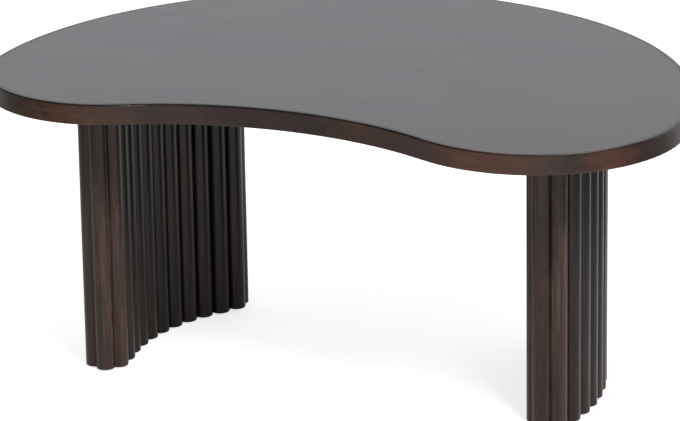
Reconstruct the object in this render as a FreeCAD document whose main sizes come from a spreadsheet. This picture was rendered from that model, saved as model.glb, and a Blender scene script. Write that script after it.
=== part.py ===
import FreeCAD, Part
import Sketcher
import math
import os
from types import SimpleNamespace

# Kidney-shaped coffee table on two curved legs, each leg a solid curved core that is
# wrapped in upright half-round slats.
# Frame: X along the length of the top, Y from the front edge to the back edge, Z up.
# The origin is on the floor, below the middle of the top's bounding rectangle.
# Each leg has a frame of its own: its origin is the centre of the leg's curvature, its X
# axis passes through the middle of the leg. The outline of the top has one too, with its
# origin half way between the centres of the two lobes.

SIZES = {
    # whole table
    "table_height": 400.0,
    "top_thickness": 26.4,
    # outline of the top: two lobes, a hollow between them at the front, one arc at the back
    "lobe_spacing": 561.0,
    "left_lobe_radius": 159.0,
    "right_lobe_radius": 187.0,
    "hollow_radius": 460.0,
    "back_centre_setback": 16.0,
    # layers of the top
    "band_width": 6.0,
    "band_top_radius": 2.2,
    "band_under_radius": 1.4,
    "veneer_thickness": 0.8,
    "glue_gap": 0.2,
    # how far in from the end of the top the middle of each leg stands, how far behind the
    # centre of its lobe, and which way it faces, in degrees from the X axis
    "left_leg_overhang": 144.6,
    "left_leg_setback": 123.8,
    "left_leg_turn": 164.9,
    "right_leg_overhang": 157.7,
    "right_leg_setback": 103.9,
    "right_leg_turn": 13.9,
    # curved core of a leg, its length measured along its middle line
    "leg_radius": 264.0,
    "leg_length": 258.0,
    "core_thickness": 36.0,
    # half-round slats on the two faces of the core, as many as fit
    "slat_radius": 13.1,
    "least_slat_gap": 0.3,
    "slat_end_radius": 1.0,
    # three-fluted mouldings on the two ends of the core
    "nose_groove_x": 12.2,
    "nose_groove_y": 24.5,
    # dowels that hold the mouldings
    "dowel_radius": 4.0,
    "dowel_length": 36.0,
    "dowels_per_joint": 3,
    "dowel_end_distance": 60.0,
    # steel plate on the head of a leg
    "plate_thickness": 4.0,
    "plate_width": 30.0,
    "plate_end_distance": 9.0,
    "bar_width": 32.0,
    "bar_end_distance": 50.6,
    "bolt_reach": 56.0,
    # wood screws through the plate into the core
    "screw_radius": 2.5,
    "screw_length": 40.0,
    "screw_head_radius": 5.0,
    "screw_head_height": 2.6,
    "screw_point_length": 5.0,
    "screw_point_radius": 1.2,
    "outer_screw_end_distance": 23.0,
    "inner_screw_bar_distance": 41.5,
    # bolts, washers and inserts that hold the plate to the top
    "bolt_radius": 3.0,
    "bolt_length": 18.0,
    "bolt_head_radius": 6.0,
    "bolt_head_height": 3.4,
    "bolt_head_rim_height": 1.2,
    "bolt_head_crown_radius": 4.4,
    "bolt_end_chamfer": 0.7,
    "socket_radius": 2.3,
    "socket_depth": 1.9,
    "washer_radius": 9.0,
    "washer_thickness": 1.6,
    "insert_radius": 5.0,
    "insert_length": 12.0,
    "insert_hole_depth": 14.0,
    # nailed glides under a leg
    "glide_thickness": 2.0,
    "glide_radius": 12.0,
    "glide_edge_width": 1.0,
    "glide_edge_height": 0.7,
    "glide_end_distance": 32.0,
    "nail_radius": 1.2,
    "nail_length": 18.0,
    "nail_head_radius": 3.0,
    "nail_head_height": 0.8,
    "nail_head_depth": 1.1,
    "nail_point_length": 2.4,
    # room left round every shank, sleeve and dowel in its hole
    "hole_gap": 0.15,
}
size = SimpleNamespace(**SIZES)

UP = FreeCAD.Vector(0, 0, 1)
ORIGIN = FreeCAD.Vector(0, 0, 0)

doc = FreeCAD.newDocument("coffee_table")
sheet = doc.addObject("Spreadsheet::Sheet", "Sizes")
for row, (alias, value) in enumerate(SIZES.items(), start=1):
    sheet.set(f"A{row}", alias)
    sheet.set(f"B{row}", str(value))
    sheet.setAlias(f"B{row}", alias)
doc.recompute()

nodes = []

# Levels and derived sizes.
top_underside = size.table_height - size.top_thickness
leg_head = top_underside - size.plate_thickness
leg_foot = size.glide_thickness
LEG_HEIGHT = "Sizes.table_height - Sizes.top_thickness - Sizes.plate_thickness - Sizes.glide_thickness"
CORE_INSET = "Sizes.band_width + Sizes.glue_gap"
leg_height = leg_head - leg_foot
core_half_angle = size.leg_length / 2 / size.leg_radius
# A flat-backed slat lies on its middle line outside the core, and on its two edges inside.
inner_face = size.leg_radius - size.core_thickness / 2
outer_face = size.leg_radius + size.core_thickness / 2
inner_slat_radius = math.sqrt((inner_face - size.glue_gap) ** 2 - size.slat_radius ** 2)
outer_slat_radius = outer_face + size.glue_gap


def circle_meeting(first, first_distance, second, second_distance):
    """The lower of the two points at the given distances from two points on one level."""
    gap = second.x - first.x
    along = (gap ** 2 + first_distance ** 2 - second_distance ** 2) / (2 * gap)
    down = math.sqrt(first_distance ** 2 - along ** 2)
    return FreeCAD.Vector(first.x + along, first.y - down, 0)


# Centres of the outline's arcs. The back arc touches both lobes from outside them, so its
# centre is on the hyperbola whose foci are the lobes' centres.
left_lobe = FreeCAD.Vector(-size.lobe_spacing / 2, 0, 0)
right_lobe = FreeCAD.Vector(size.lobe_spacing / 2, 0, 0)
hollow_centre = circle_meeting(
    left_lobe, size.hollow_radius + size.left_lobe_radius,
    right_lobe, size.hollow_radius + size.right_lobe_radius)
half_difference = (size.right_lobe_radius - size.left_lobe_radius) / 2
half_spacing = size.lobe_spacing / 2
stretch = 1 + size.back_centre_setback ** 2 / (half_spacing ** 2 - half_difference ** 2)
back_centre = FreeCAD.Vector(half_difference * math.sqrt(stretch), -size.back_centre_setback, 0)
back_radius = size.left_lobe_radius + (back_centre - left_lobe).Length

# The outline's frame is moved so that the bounding rectangle is centred on the origin.
front_reach = max(size.left_lobe_radius, size.right_lobe_radius)
back_reach = back_centre.y + back_radius
outline_shift = FreeCAD.Vector(-half_difference, (front_reach - back_reach) / 2, 0)


def at_level(level):
    """Placement of the outline's frame at a height above the floor."""
    return FreeCAD.Placement(outline_shift + UP * level, FreeCAD.Rotation())


def leg_placement(side, level):
    """Placement of a leg's frame at a height above the floor."""
    if side == "left":
        reach = size.left_leg_overhang - size.left_lobe_radius
        middle = left_lobe + FreeCAD.Vector(reach, size.left_leg_setback, level)
        turn = FreeCAD.Rotation(UP, size.left_leg_turn)
    else:
        reach = size.right_lobe_radius - size.right_leg_overhang
        middle = right_lobe + FreeCAD.Vector(reach, size.right_leg_setback, level)
        turn = FreeCAD.Rotation(UP, size.right_leg_turn)
    centre = middle - turn.multVec(FreeCAD.Vector(size.leg_radius, 0, 0))
    return FreeCAD.Placement(outline_shift + centre, turn)


def angle_from_end(distance):
    """Angle on the leg's middle line between its middle and a distance from its end."""
    return core_half_angle - distance / size.leg_radius


def polar(radius, angle, level=0.0):
    """Point of a leg's frame at a radius and an angle in radians."""
    return FreeCAD.Vector(radius * math.cos(angle), radius * math.sin(angle), level)


def new_body(name):
    body = doc.addObject("PartDesign::Body", name)
    body.Label = name
    return body


def new_sketch(body, name, plane="XY_Plane"):
    sketch = body.newObject("Sketcher::SketchObject", name)
    planes = [feature for feature in body.Origin.OriginFeatures if feature.Role == plane]
    sketch.AttachmentSupport = [(planes[0], "")]
    sketch.MapMode = "FlatFace"
    return sketch


def constrain(sketch, formula, kind, *references):
    """Add a dimension whose value starts at what is drawn, and bind it to a formula."""
    index = sketch.addConstraint(Sketcher.Constraint(kind, *references))
    sketch.setExpression(f"Constraints[{index}]", formula)


def arc_between(centre, radius, start, end):
    """Arc that runs anticlockwise about its centre, from one point to another."""
    first = math.atan2(start.y - centre.y, start.x - centre.x)
    last = math.atan2(end.y - centre.y, end.x - centre.x)
    if last < first:
        last += 2 * math.pi
    return Part.ArcOfCircle(Part.Circle(centre, UP, radius), first, last)


def toward(start, end, distance):
    """Point at a distance from the start, on the way to the end."""
    return start + (end - start).normalize() * distance


def draw_outline(sketch, inset=0.0, inset_formula=""):
    """The outline of the top, moved inwards: right lobe, back, left lobe, hollow."""
    less = f" - ({inset_formula})" if inset_formula else ""
    more = f" + ({inset_formula})" if inset_formula else ""
    left = size.left_lobe_radius - inset
    right = size.right_lobe_radius - inset
    hollow = size.hollow_radius + inset
    back = back_radius - inset
    hollow_to_right = toward(right_lobe, hollow_centre, right)
    right_to_back = toward(right_lobe, back_centre, -right)
    back_to_left = toward(left_lobe, back_centre, -left)
    left_to_hollow = toward(left_lobe, hollow_centre, left)
    right_arc = sketch.addGeometry(arc_between(right_lobe, right, hollow_to_right, right_to_back))
    back_arc = sketch.addGeometry(arc_between(back_centre, back, right_to_back, back_to_left))
    left_arc = sketch.addGeometry(arc_between(left_lobe, left, back_to_left, left_to_hollow))
    hollow_arc = sketch.addGeometry(
        arc_between(hollow_centre, hollow, hollow_to_right, left_to_hollow))
    sketch.addConstraint(Sketcher.Constraint("Tangent", right_arc, 2, back_arc, 1))
    sketch.addConstraint(Sketcher.Constraint("Tangent", back_arc, 2, left_arc, 1))
    sketch.addConstraint(Sketcher.Constraint("Tangent", left_arc, 2, hollow_arc, 2))
    sketch.addConstraint(Sketcher.Constraint("Tangent", hollow_arc, 1, right_arc, 1))
    sketch.addConstraint(Sketcher.Constraint("PointOnObject", left_arc, 3, -1))
    sketch.addConstraint(Sketcher.Constraint("PointOnObject", right_arc, 3, -1))
    constrain(sketch, "-Sizes.lobe_spacing / 2", "DistanceX", -1, 1, left_arc, 3, left_lobe.x)
    constrain(sketch, "Sizes.lobe_spacing / 2", "DistanceX", -1, 1, right_arc, 3, right_lobe.x)
    constrain(sketch, "-Sizes.back_centre_setback", "DistanceY", -1, 1, back_arc, 3, back_centre.y)
    constrain(sketch, f"Sizes.left_lobe_radius{less}", "Radius", left_arc, left)
    constrain(sketch, f"Sizes.right_lobe_radius{less}", "Radius", right_arc, right)
    constrain(sketch, f"Sizes.hollow_radius{more}", "Radius", hollow_arc, hollow)


def pad(body, sketch, formula):
    feature = body.newObject("PartDesign::Pad", f"{sketch.Name}_pad")
    feature.Profile = sketch
    feature.setExpression("Length", formula)
    body.Tip = feature
    return feature


def edge_names(shape, test):
    return [f"Edge{number}" for number, edge in enumerate(shape.Edges, start=1) if test(edge)]


def round_edges(body, name, test, formula):
    """Fillet the edges of the body's last feature that pass a test."""
    doc.recompute()
    base = body.Tip
    feature = body.newObject("PartDesign::Fillet", name)
    feature.Base = (base, edge_names(base.Shape, test))
    feature.setExpression("Radius", formula)
    body.Tip = feature
    return feature


def is_level(edge, level):
    box = edge.BoundBox
    return abs(box.ZMin - level) < Part.Precision.confusion() * size.table_height and (
        abs(box.ZMax - level) < Part.Precision.confusion() * size.table_height)


def keep(item):
    """Count an object as one of the table's pieces."""
    nodes.append(item)
    return item


def group(name, template, placements):
    """Like pieces that share one node, each a solid of its own."""
    item = doc.addObject("Part::Feature", name)
    item.Label = name
    copies = [template.Shape.transformed(spot.toMatrix(), True) for spot in placements]
    item.Shape = Part.makeCompound(copies)
    return keep(item)


def cylinder(name, radius, height, placement):
    """Part cylinder with its radius and height bound to formulas."""
    item = doc.addObject("Part::Cylinder", name)
    item.setExpression("Radius", radius)
    item.setExpression("Height", height)
    item.Placement = placement
    return item


def fused(name, items):
    item = doc.addObject("Part::MultiFuse", name)
    item.Label = name
    item.Shapes = items
    return item


def cut(name, base, tools):
    """The base with every tool taken out of it."""
    item = doc.addObject("Part::Cut", name)
    item.Label = name
    item.Base = base
    item.Tool = tools[0] if len(tools) == 1 else fused(f"{name}_tools", tools)
    return item


def moved(placement, point):
    """A placement carried along to a point of its own frame, with its directions kept."""
    return placement.multiply(FreeCAD.Placement(point, FreeCAD.Rotation()))


# The top: a solid band bent round a core, with a veneer on each face of the core.

core_inset = size.band_width + size.glue_gap

edge_band = keep(new_body("edge_band"))
band_sketch = new_sketch(edge_band, "edge_band_outline")
draw_outline(band_sketch)
draw_outline(band_sketch, size.band_width, "Sizes.band_width")
pad(edge_band, band_sketch, "Sizes.top_thickness")
outer_radii = [size.left_lobe_radius, size.right_lobe_radius, size.hollow_radius, back_radius]


def on_outer_side(edge, level):
    if not is_level(edge, level) or not hasattr(edge.Curve, "Radius"):
        return False
    nearest = min(abs(edge.Curve.Radius - radius) for radius in outer_radii)
    return nearest < size.band_width / 2


round_edges(edge_band, "edge_band_top_round",
            lambda edge: on_outer_side(edge, size.top_thickness), "Sizes.band_top_radius")
round_edges(edge_band, "edge_band_under_round",
            lambda edge: on_outer_side(edge, 0.0), "Sizes.band_under_radius")
edge_band.Placement = at_level(top_underside)

# The spots of the legs' bolts are needed here too: two bars cross each leg, and each of them
# has a bolt on either side of the leg.

def bolt_spots():
    """Points of a leg's frame for the bolts, two on each side of the leg."""
    bar_angle = angle_from_end(size.bar_end_distance)
    return [FreeCAD.Placement(polar(size.leg_radius + reach, angle), FreeCAD.Rotation())
            for angle in (-bar_angle, bar_angle)
            for reach in (-size.bolt_reach, size.bolt_reach)]


def on_both_legs(level, spots):
    """Spots of a leg's frame, carried to both legs."""
    return [leg_placement(side, level).multiply(spot)
            for side in ("left", "right") for spot in spots]


def insert_holes(name, depth):
    """Holes for the threaded inserts, upwards from the level of the outline's own frame."""
    home = at_level(0.0).inverse()
    return [cylinder(f"{name}_insert_hole_{number}", "Sizes.insert_radius + Sizes.hole_gap",
                     depth, home.multiply(spot))
            for number, spot in enumerate(on_both_legs(0.0, bolt_spots()))]


def layer_blank(name, thickness):
    """A layer of the top that fits inside the band."""
    blank = new_body(f"{name}_blank")
    sketch = new_sketch(blank, f"{name}_outline")
    draw_outline(sketch, core_inset, CORE_INSET)
    pad(blank, sketch, thickness)
    return blank


top_core = keep(cut("top_core",
                    layer_blank("top_core",
                                "Sizes.top_thickness - 2 * Sizes.veneer_thickness"),
                    insert_holes("top_core",
                                 "Sizes.insert_hole_depth - Sizes.veneer_thickness")))
top_core.Placement = at_level(top_underside + size.veneer_thickness)

top_veneer = keep(new_body("top_face_veneer"))
veneer_sketch = new_sketch(top_veneer, "top_face_veneer_outline")
draw_outline(veneer_sketch, core_inset, CORE_INSET)
pad(top_veneer, veneer_sketch, "Sizes.veneer_thickness")
top_veneer.Placement = at_level(size.table_height - size.veneer_thickness)

under_veneer = keep(cut("underside_veneer",
                        layer_blank("underside_veneer", "Sizes.veneer_thickness"),
                        insert_holes("underside_veneer", "Sizes.veneer_thickness")))
under_veneer.Placement = at_level(top_underside)


# The legs: curved cores, drilled in their ends for dowels, on top for screws, below for nails.

def draw_sector(sketch, width, width_formula, end_distance, end_distance_formula):
    """A curved strip on the leg's radius, with radial ends at a distance from the leg's."""
    angle = angle_from_end(end_distance)
    angle_formula = (f"(Sizes.leg_length / 2 - ({end_distance_formula}))"
                     " / Sizes.leg_radius * 1 rad")
    inner = size.leg_radius - width / 2
    outer = size.leg_radius + width / 2
    outer_arc = sketch.addGeometry(
        Part.ArcOfCircle(Part.Circle(ORIGIN, UP, outer), -angle, angle))
    inner_arc = sketch.addGeometry(
        Part.ArcOfCircle(Part.Circle(ORIGIN, UP, inner), -angle, angle))
    far_end = sketch.addGeometry(Part.LineSegment(polar(inner, angle), polar(outer, angle)))
    near_end = sketch.addGeometry(Part.LineSegment(polar(inner, -angle), polar(outer, -angle)))
    sketch.addConstraint(Sketcher.Constraint("Coincident", outer_arc, 3, -1, 1))
    sketch.addConstraint(Sketcher.Constraint("Coincident", inner_arc, 3, -1, 1))
    for line, end in ((near_end, 1), (far_end, 2)):
        sketch.addConstraint(Sketcher.Constraint("Coincident", line, 1, inner_arc, end))
        sketch.addConstraint(Sketcher.Constraint("Coincident", line, 2, outer_arc, end))
        sketch.addConstraint(Sketcher.Constraint("PointOnObject", -1, 1, line))
    constrain(sketch, f"Sizes.leg_radius + ({width_formula}) / 2", "Radius", outer_arc, outer)
    constrain(sketch, f"Sizes.leg_radius - ({width_formula}) / 2", "Radius", inner_arc, inner)
    constrain(sketch, angle_formula, "Angle", -1, 1, far_end, 1, angle)
    constrain(sketch, angle_formula, "Angle", near_end, 1, -1, 1, angle)


def end_tangent(end):
    """Direction in which a leg runs out at one of its ends, in the leg's frame."""
    return FreeCAD.Vector(-math.sin(core_half_angle), end * math.cos(core_half_angle), 0)


def dowel_spots():
    """Middles of the dowels of one leg, each lying along the leg at one of its ends."""
    spots = []
    spread = leg_height - 2 * size.dowel_end_distance
    for end in (-1, 1):
        turn = FreeCAD.Rotation(UP, end_tangent(end))
        for number in range(size.dowels_per_joint):
            level = size.dowel_end_distance + spread * number / (size.dowels_per_joint - 1)
            middle = polar(size.leg_radius, end * core_half_angle, level)
            start = middle - end_tangent(end) * (size.dowel_length / 2)
            spots.append(FreeCAD.Placement(start, turn))
    return spots


def screw_spots(level):
    """Points on the middle line of a leg for the screws through its plate."""
    outer = angle_from_end(size.outer_screw_end_distance)
    inner = angle_from_end(size.bar_end_distance + size.inner_screw_bar_distance)
    return [FreeCAD.Placement(polar(size.leg_radius, angle, level), FreeCAD.Rotation())
            for angle in (-outer, -inner, inner, outer)]


def glide_spots():
    outer = angle_from_end(size.glide_end_distance)
    return [FreeCAD.Placement(polar(size.leg_radius, angle), FreeCAD.Rotation())
            for angle in (-outer, 0.0, outer)]


def build_core(side):
    blank = new_body(f"{side}_leg_core_blank")
    sketch = new_sketch(blank, f"{side}_leg_core_plan")
    draw_sector(sketch, size.core_thickness, "Sizes.core_thickness", 0.0, "0")
    pad(blank, sketch, LEG_HEIGHT)
    tools = []
    for number, spot in enumerate(dowel_spots()):
        tools.append(cylinder(f"{side}_core_dowel_hole_{number}",
                              "Sizes.dowel_radius + Sizes.hole_gap",
                              "Sizes.dowel_length", spot))
    drill_start = leg_head - leg_foot - size.screw_length
    for number, spot in enumerate(screw_spots(drill_start)):
        tools.append(cylinder(f"{side}_core_screw_hole_{number}",
                              "Sizes.screw_radius + Sizes.hole_gap",
                              "Sizes.screw_length", spot))
    for number, spot in enumerate(glide_spots()):
        tools.append(cylinder(f"{side}_core_nail_hole_{number}",
                              "Sizes.nail_radius + Sizes.hole_gap",
                              "Sizes.nail_length", spot))
    core = cut(f"{side}_leg_core", blank, tools)
    core.Placement = leg_placement(side, leg_foot)
    return keep(core)


left_core = build_core("left")
right_core = build_core("right")


# Half rounds stand with their flat backs on the YZ plane and bulge along X from the Z axis.

def half_round(name, radius, formula):
    """A half-round rod as high as a leg, with its ends rounded off along the bulge."""
    body = new_body(name)
    sketch = new_sketch(body, f"{name}_section")
    back = sketch.addGeometry(Part.LineSegment(
        FreeCAD.Vector(0, radius, 0), FreeCAD.Vector(0, -radius, 0)))
    bulge = sketch.addGeometry(Part.ArcOfCircle(
        Part.Circle(ORIGIN, UP, radius), -math.pi / 2, math.pi / 2))
    sketch.addConstraint(Sketcher.Constraint("Coincident", back, 2, bulge, 1))
    sketch.addConstraint(Sketcher.Constraint("Coincident", back, 1, bulge, 2))
    sketch.addConstraint(Sketcher.Constraint("Coincident", bulge, 3, -1, 1))
    sketch.addConstraint(Sketcher.Constraint("PointOnObject", back, 1, -2))
    sketch.addConstraint(Sketcher.Constraint("PointOnObject", back, 2, -2))
    constrain(sketch, formula, "Radius", bulge, radius)
    pad(body, sketch, LEG_HEIGHT)
    round_edges(body, f"{name}_ends",
                lambda edge: hasattr(edge.Curve, "Radius") and (
                    is_level(edge, 0.0) or is_level(edge, leg_height)),
                "Sizes.slat_end_radius")
    return body


slat = half_round("slat_pattern", size.slat_radius, "Sizes.slat_radius")


def slat_spots(radius, turned):
    """Where the slats stand on one face of a core, turned by an angle from facing outwards."""
    spots = []
    least_step = 2 * math.asin((size.slat_radius + size.least_slat_gap / 2) / radius)
    count = math.floor(2 * core_half_angle / least_step)
    step = 2 * core_half_angle / count
    for number in range(count):
        angle = -core_half_angle + step * (number + 0.5)
        facing = FreeCAD.Rotation(UP, math.degrees(angle) + turned)
        spots.append(FreeCAD.Placement(polar(radius, angle), facing))
    return spots


# Moulding on the end of a core: its back is on the frame's X axis, its tip points along Y.
# Three half rounds stand on the slanted and far sides of a wedge whose far corners are the
# two grooves.
wedge = new_body("nose_wedge")
wedge_sketch = new_sketch(wedge, "nose_wedge_section")
half_back = size.core_thickness / 2
wedge_points = [
    FreeCAD.Vector(-half_back, 0, 0),
    FreeCAD.Vector(half_back, 0, 0),
    FreeCAD.Vector(size.nose_groove_x, size.nose_groove_y, 0),
    FreeCAD.Vector(-size.nose_groove_x, size.nose_groove_y, 0),
]
wedge_sides = [wedge_sketch.addGeometry(Part.LineSegment(start, end))
               for start, end in zip(wedge_points, wedge_points[1:] + wedge_points[:1])]
for side, following in zip(wedge_sides, wedge_sides[1:] + wedge_sides[:1]):
    wedge_sketch.addConstraint(Sketcher.Constraint("Coincident", side, 2, following, 1))
back_side, slant, far_side, other_slant = wedge_sides
wedge_sketch.addConstraint(Sketcher.Constraint("Symmetric", back_side, 1, back_side, 2, -2))
wedge_sketch.addConstraint(Sketcher.Constraint("Symmetric", far_side, 1, far_side, 2, -2))
wedge_sketch.addConstraint(Sketcher.Constraint("PointOnObject", back_side, 1, -1))
constrain(wedge_sketch, "Sizes.core_thickness / 2", "DistanceX", -1, 1, back_side, 2, half_back)
constrain(wedge_sketch, "Sizes.nose_groove_x", "DistanceX", -1, 1, far_side, 1,
          size.nose_groove_x)
constrain(wedge_sketch, "Sizes.nose_groove_y", "DistanceY", -1, 1, far_side, 1,
          size.nose_groove_y)
pad(wedge, wedge_sketch, LEG_HEIGHT)

NOSE_SIDE = ("sqrt((Sizes.core_thickness / 2 - Sizes.nose_groove_x) ^ 2"
             " + Sizes.nose_groove_y ^ 2) / 2")
nose_solids = [wedge]
for name, start, end in (("right", wedge_points[1], wedge_points[2]),
                         ("tip", wedge_points[2], wedge_points[3]),
                         ("left", wedge_points[3], wedge_points[0])):
    formula = "Sizes.nose_groove_x" if name == "tip" else NOSE_SIDE
    lobe = half_round(f"nose_{name}_round", (end - start).Length / 2, formula)
    chord_angle = math.degrees(math.atan2(end.y - start.y, end.x - start.x))
    lobe.Placement = FreeCAD.Placement((start + end) / 2, FreeCAD.Rotation(UP, chord_angle - 90))
    nose_solids.append(lobe)
nose = fused("nose_pattern", nose_solids)
doc.recompute()


def nose_placement(end):
    """Where a moulding stands in the leg's frame, for the end at minus or plus the angle."""
    point = polar(size.leg_radius, end * core_half_angle)
    angle = math.degrees(core_half_angle)
    turn = angle if end > 0 else 180 - angle
    return FreeCAD.Placement(point, FreeCAD.Rotation(UP, turn))


def build_nose(side, name, end):
    """A copy of the moulding, drilled from the back for its dowels."""
    blank = doc.addObject("Part::Feature", f"{side}_{name}_blank")
    blank.Shape = nose.Shape
    blank.Placement = nose_placement(end)
    spots = [spot for spot in dowel_spots() if spot.Base.y * end > 0]
    tools = [cylinder(f"{side}_{name}_dowel_hole_{number}",
                      "Sizes.dowel_radius + Sizes.hole_gap", "Sizes.dowel_length", spot)
             for number, spot in enumerate(spots)]
    item = cut(f"{side}_{name}", blank, tools)
    item.Placement = leg_placement(side, leg_foot)
    return keep(item)


FRONT_END = {"left": 1, "right": -1}
for side in ("left", "right"):
    here = leg_placement(side, leg_foot)
    build_nose(side, "leg_front_nose", FRONT_END[side])
    build_nose(side, "leg_rear_nose", -FRONT_END[side])
    group(f"{side}_leg_inner_slats", slat,
          [here.multiply(spot) for spot in slat_spots(inner_slat_radius, 180)])
    group(f"{side}_leg_outer_slats", slat,
          [here.multiply(spot) for spot in slat_spots(outer_slat_radius, 0)])


# Plates: a curved strip on the head of the core with two bars across it that carry the bolts.

def build_plate(side):
    strip = new_body(f"{side}_plate_strip")
    sketch = new_sketch(strip, f"{side}_plate_plan")
    draw_sector(sketch, size.plate_width, "Sizes.plate_width",
                size.plate_end_distance, "Sizes.plate_end_distance")
    pad(strip, sketch, "Sizes.plate_thickness")
    solids = [strip]
    bar_angle = math.degrees(angle_from_end(size.bar_end_distance))
    for number, angle in enumerate((-bar_angle, bar_angle)):
        bar = doc.addObject("Part::Box", f"{side}_plate_bar_{number}")
        bar.setExpression("Length", "2 * Sizes.bolt_reach")
        bar.setExpression("Width", "Sizes.bar_width")
        bar.setExpression("Height", "Sizes.plate_thickness")
        turn = FreeCAD.Rotation(UP, angle)
        corner = FreeCAD.Vector(size.leg_radius - size.bolt_reach, -size.bar_width / 2, 0)
        bar.Placement = FreeCAD.Placement(turn.multVec(corner), turn)
        solids.append(bar)
    tools = []
    for number, spot in enumerate(bolt_spots()):
        solids.append(cylinder(f"{side}_plate_bar_end_{number}", "Sizes.bar_width / 2",
                               "Sizes.plate_thickness", spot))
        tools.append(cylinder(f"{side}_plate_bolt_hole_{number}",
                              "Sizes.bolt_radius + Sizes.hole_gap",
                              "Sizes.plate_thickness", spot))
    for number, spot in enumerate(screw_spots(0.0)):
        tools.append(cylinder(f"{side}_plate_screw_hole_{number}",
                              "Sizes.screw_radius + Sizes.hole_gap",
                              "Sizes.plate_thickness", spot))
        sink = doc.addObject("Part::Cone", f"{side}_plate_countersink_{number}")
        sink.setExpression("Radius1", "Sizes.screw_radius + Sizes.hole_gap")
        sink.setExpression("Radius2", "Sizes.screw_head_radius + Sizes.hole_gap")
        sink.setExpression("Height", "Sizes.screw_head_height")
        sink.Placement = moved(spot, UP * (size.plate_thickness - size.screw_head_height))
        tools.append(sink)
    plate = cut(f"{side}_leg_head_plate", fused(f"{side}_plate_blank", solids), tools)
    plate.Placement = leg_placement(side, leg_head)
    return keep(plate)


left_plate = build_plate("left")
right_plate = build_plate("right")


# Fastenings and glides, each drawn once at the origin and then set in its places.

def revolved(name, points):
    """Solid of revolution about Z from the points of its half section."""
    item = doc.addObject("Part::Feature", name)
    corners = [FreeCAD.Vector(radius, 0, level) for radius, level in points]
    face = Part.Face(Part.makePolygon(corners + corners[:1]))
    item.Shape = face.revolve(ORIGIN, UP, 360)
    return item


dowel = cylinder("dowel_pattern", "Sizes.dowel_radius", "Sizes.dowel_length - 2 * Sizes.hole_gap",
                 FreeCAD.Placement())

screw_top = size.plate_thickness - size.hole_gap
screw_tip = size.plate_thickness - size.screw_length
screw = revolved("screw_pattern", [
    (0, screw_tip),
    (size.screw_point_radius, screw_tip),
    (size.screw_radius, screw_tip + size.screw_point_length),
    (size.screw_radius, screw_top - size.screw_head_height),
    (size.screw_head_radius, screw_top),
    (0, screw_top),
])

bolt_blank = revolved("bolt_blank", [
    (0, -size.bolt_head_height),
    (size.bolt_head_crown_radius, -size.bolt_head_height),
    (size.bolt_head_radius, -size.bolt_head_rim_height),
    (size.bolt_head_radius, 0),
    (size.bolt_radius, 0),
    (size.bolt_radius, size.bolt_length - size.bolt_end_chamfer),
    (size.bolt_radius - size.bolt_end_chamfer, size.bolt_length),
    (0, size.bolt_length),
])
bolt_socket = doc.addObject("Part::Prism", "bolt_socket")
bolt_socket.Polygon = 6
bolt_socket.setExpression("Circumradius", "Sizes.socket_radius")
bolt_socket.setExpression("Height", "Sizes.socket_depth")
bolt_socket.Placement = FreeCAD.Placement(UP * -size.bolt_head_height, FreeCAD.Rotation())
bolt = cut("bolt_pattern", bolt_blank, [bolt_socket])

sleeve_bore = size.bolt_radius + size.hole_gap
washer = revolved("washer_pattern", [
    (sleeve_bore, 0), (size.washer_radius, 0),
    (size.washer_radius, size.washer_thickness), (sleeve_bore, size.washer_thickness)])
insert = revolved("insert_pattern", [
    (sleeve_bore, 0), (size.insert_radius, 0),
    (size.insert_radius, size.insert_length), (sleeve_bore, size.insert_length)])

nail_hole = size.nail_radius + size.hole_gap
head_hole = size.nail_head_radius + size.hole_gap
glide = revolved("glide_pattern", [
    (head_hole, 0),
    (size.glide_radius - size.glide_edge_width, 0),
    (size.glide_radius, size.glide_edge_height),
    (size.glide_radius, size.glide_thickness),
    (nail_hole, size.glide_thickness),
    (nail_hole, size.nail_head_depth),
    (head_hole, size.nail_head_depth),
])
nail_low = size.nail_head_depth - size.nail_head_height
nail = revolved("nail_pattern", [
    (0, nail_low),
    (size.nail_head_radius, nail_low),
    (size.nail_head_radius, size.nail_head_depth),
    (size.nail_radius, size.nail_head_depth),
    (size.nail_radius, size.nail_length - size.nail_point_length),
    (0, size.nail_length),
])
doc.recompute()

group("nose_dowels", dowel,
      [moved(spot, UP * size.hole_gap) for spot in on_both_legs(leg_foot, dowel_spots())])
group("plate_screws", screw, on_both_legs(leg_head, screw_spots(0.0)))
group("leg_bolts", bolt, on_both_legs(leg_head - size.washer_thickness, bolt_spots()))
group("bolt_washers", washer, on_both_legs(leg_head - size.washer_thickness, bolt_spots()))
group("threaded_inserts", insert, on_both_legs(top_underside, bolt_spots()))
group("glide_pads", glide, on_both_legs(0.0, glide_spots()))
group("glide_nails", nail, on_both_legs(0.0, glide_spots()))

doc.recompute()
for item in doc.Objects:
    if "Invalid" in item.State or "Error" in item.State:
        raise RuntimeError(f"{item.Label} could not be built: {item.State}")
for item in nodes:
    if item.Shape.isNull() or not item.Shape.isValid() or not item.Shape.Solids:
        raise RuntimeError(f"{item.Label} has no sound solid")

os.makedirs("parts", exist_ok=True)
for item in nodes:
    item.Shape.exportStep(os.path.join("parts", f"{item.Label}.step"))
    print(item.Label, len(item.Shape.Solids), round(item.Shape.Volume))
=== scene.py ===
import math

import bmesh
import bpy
from bpy.props import FloatProperty, FloatVectorProperty, PointerProperty
from mathutils import Matrix, Vector


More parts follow.
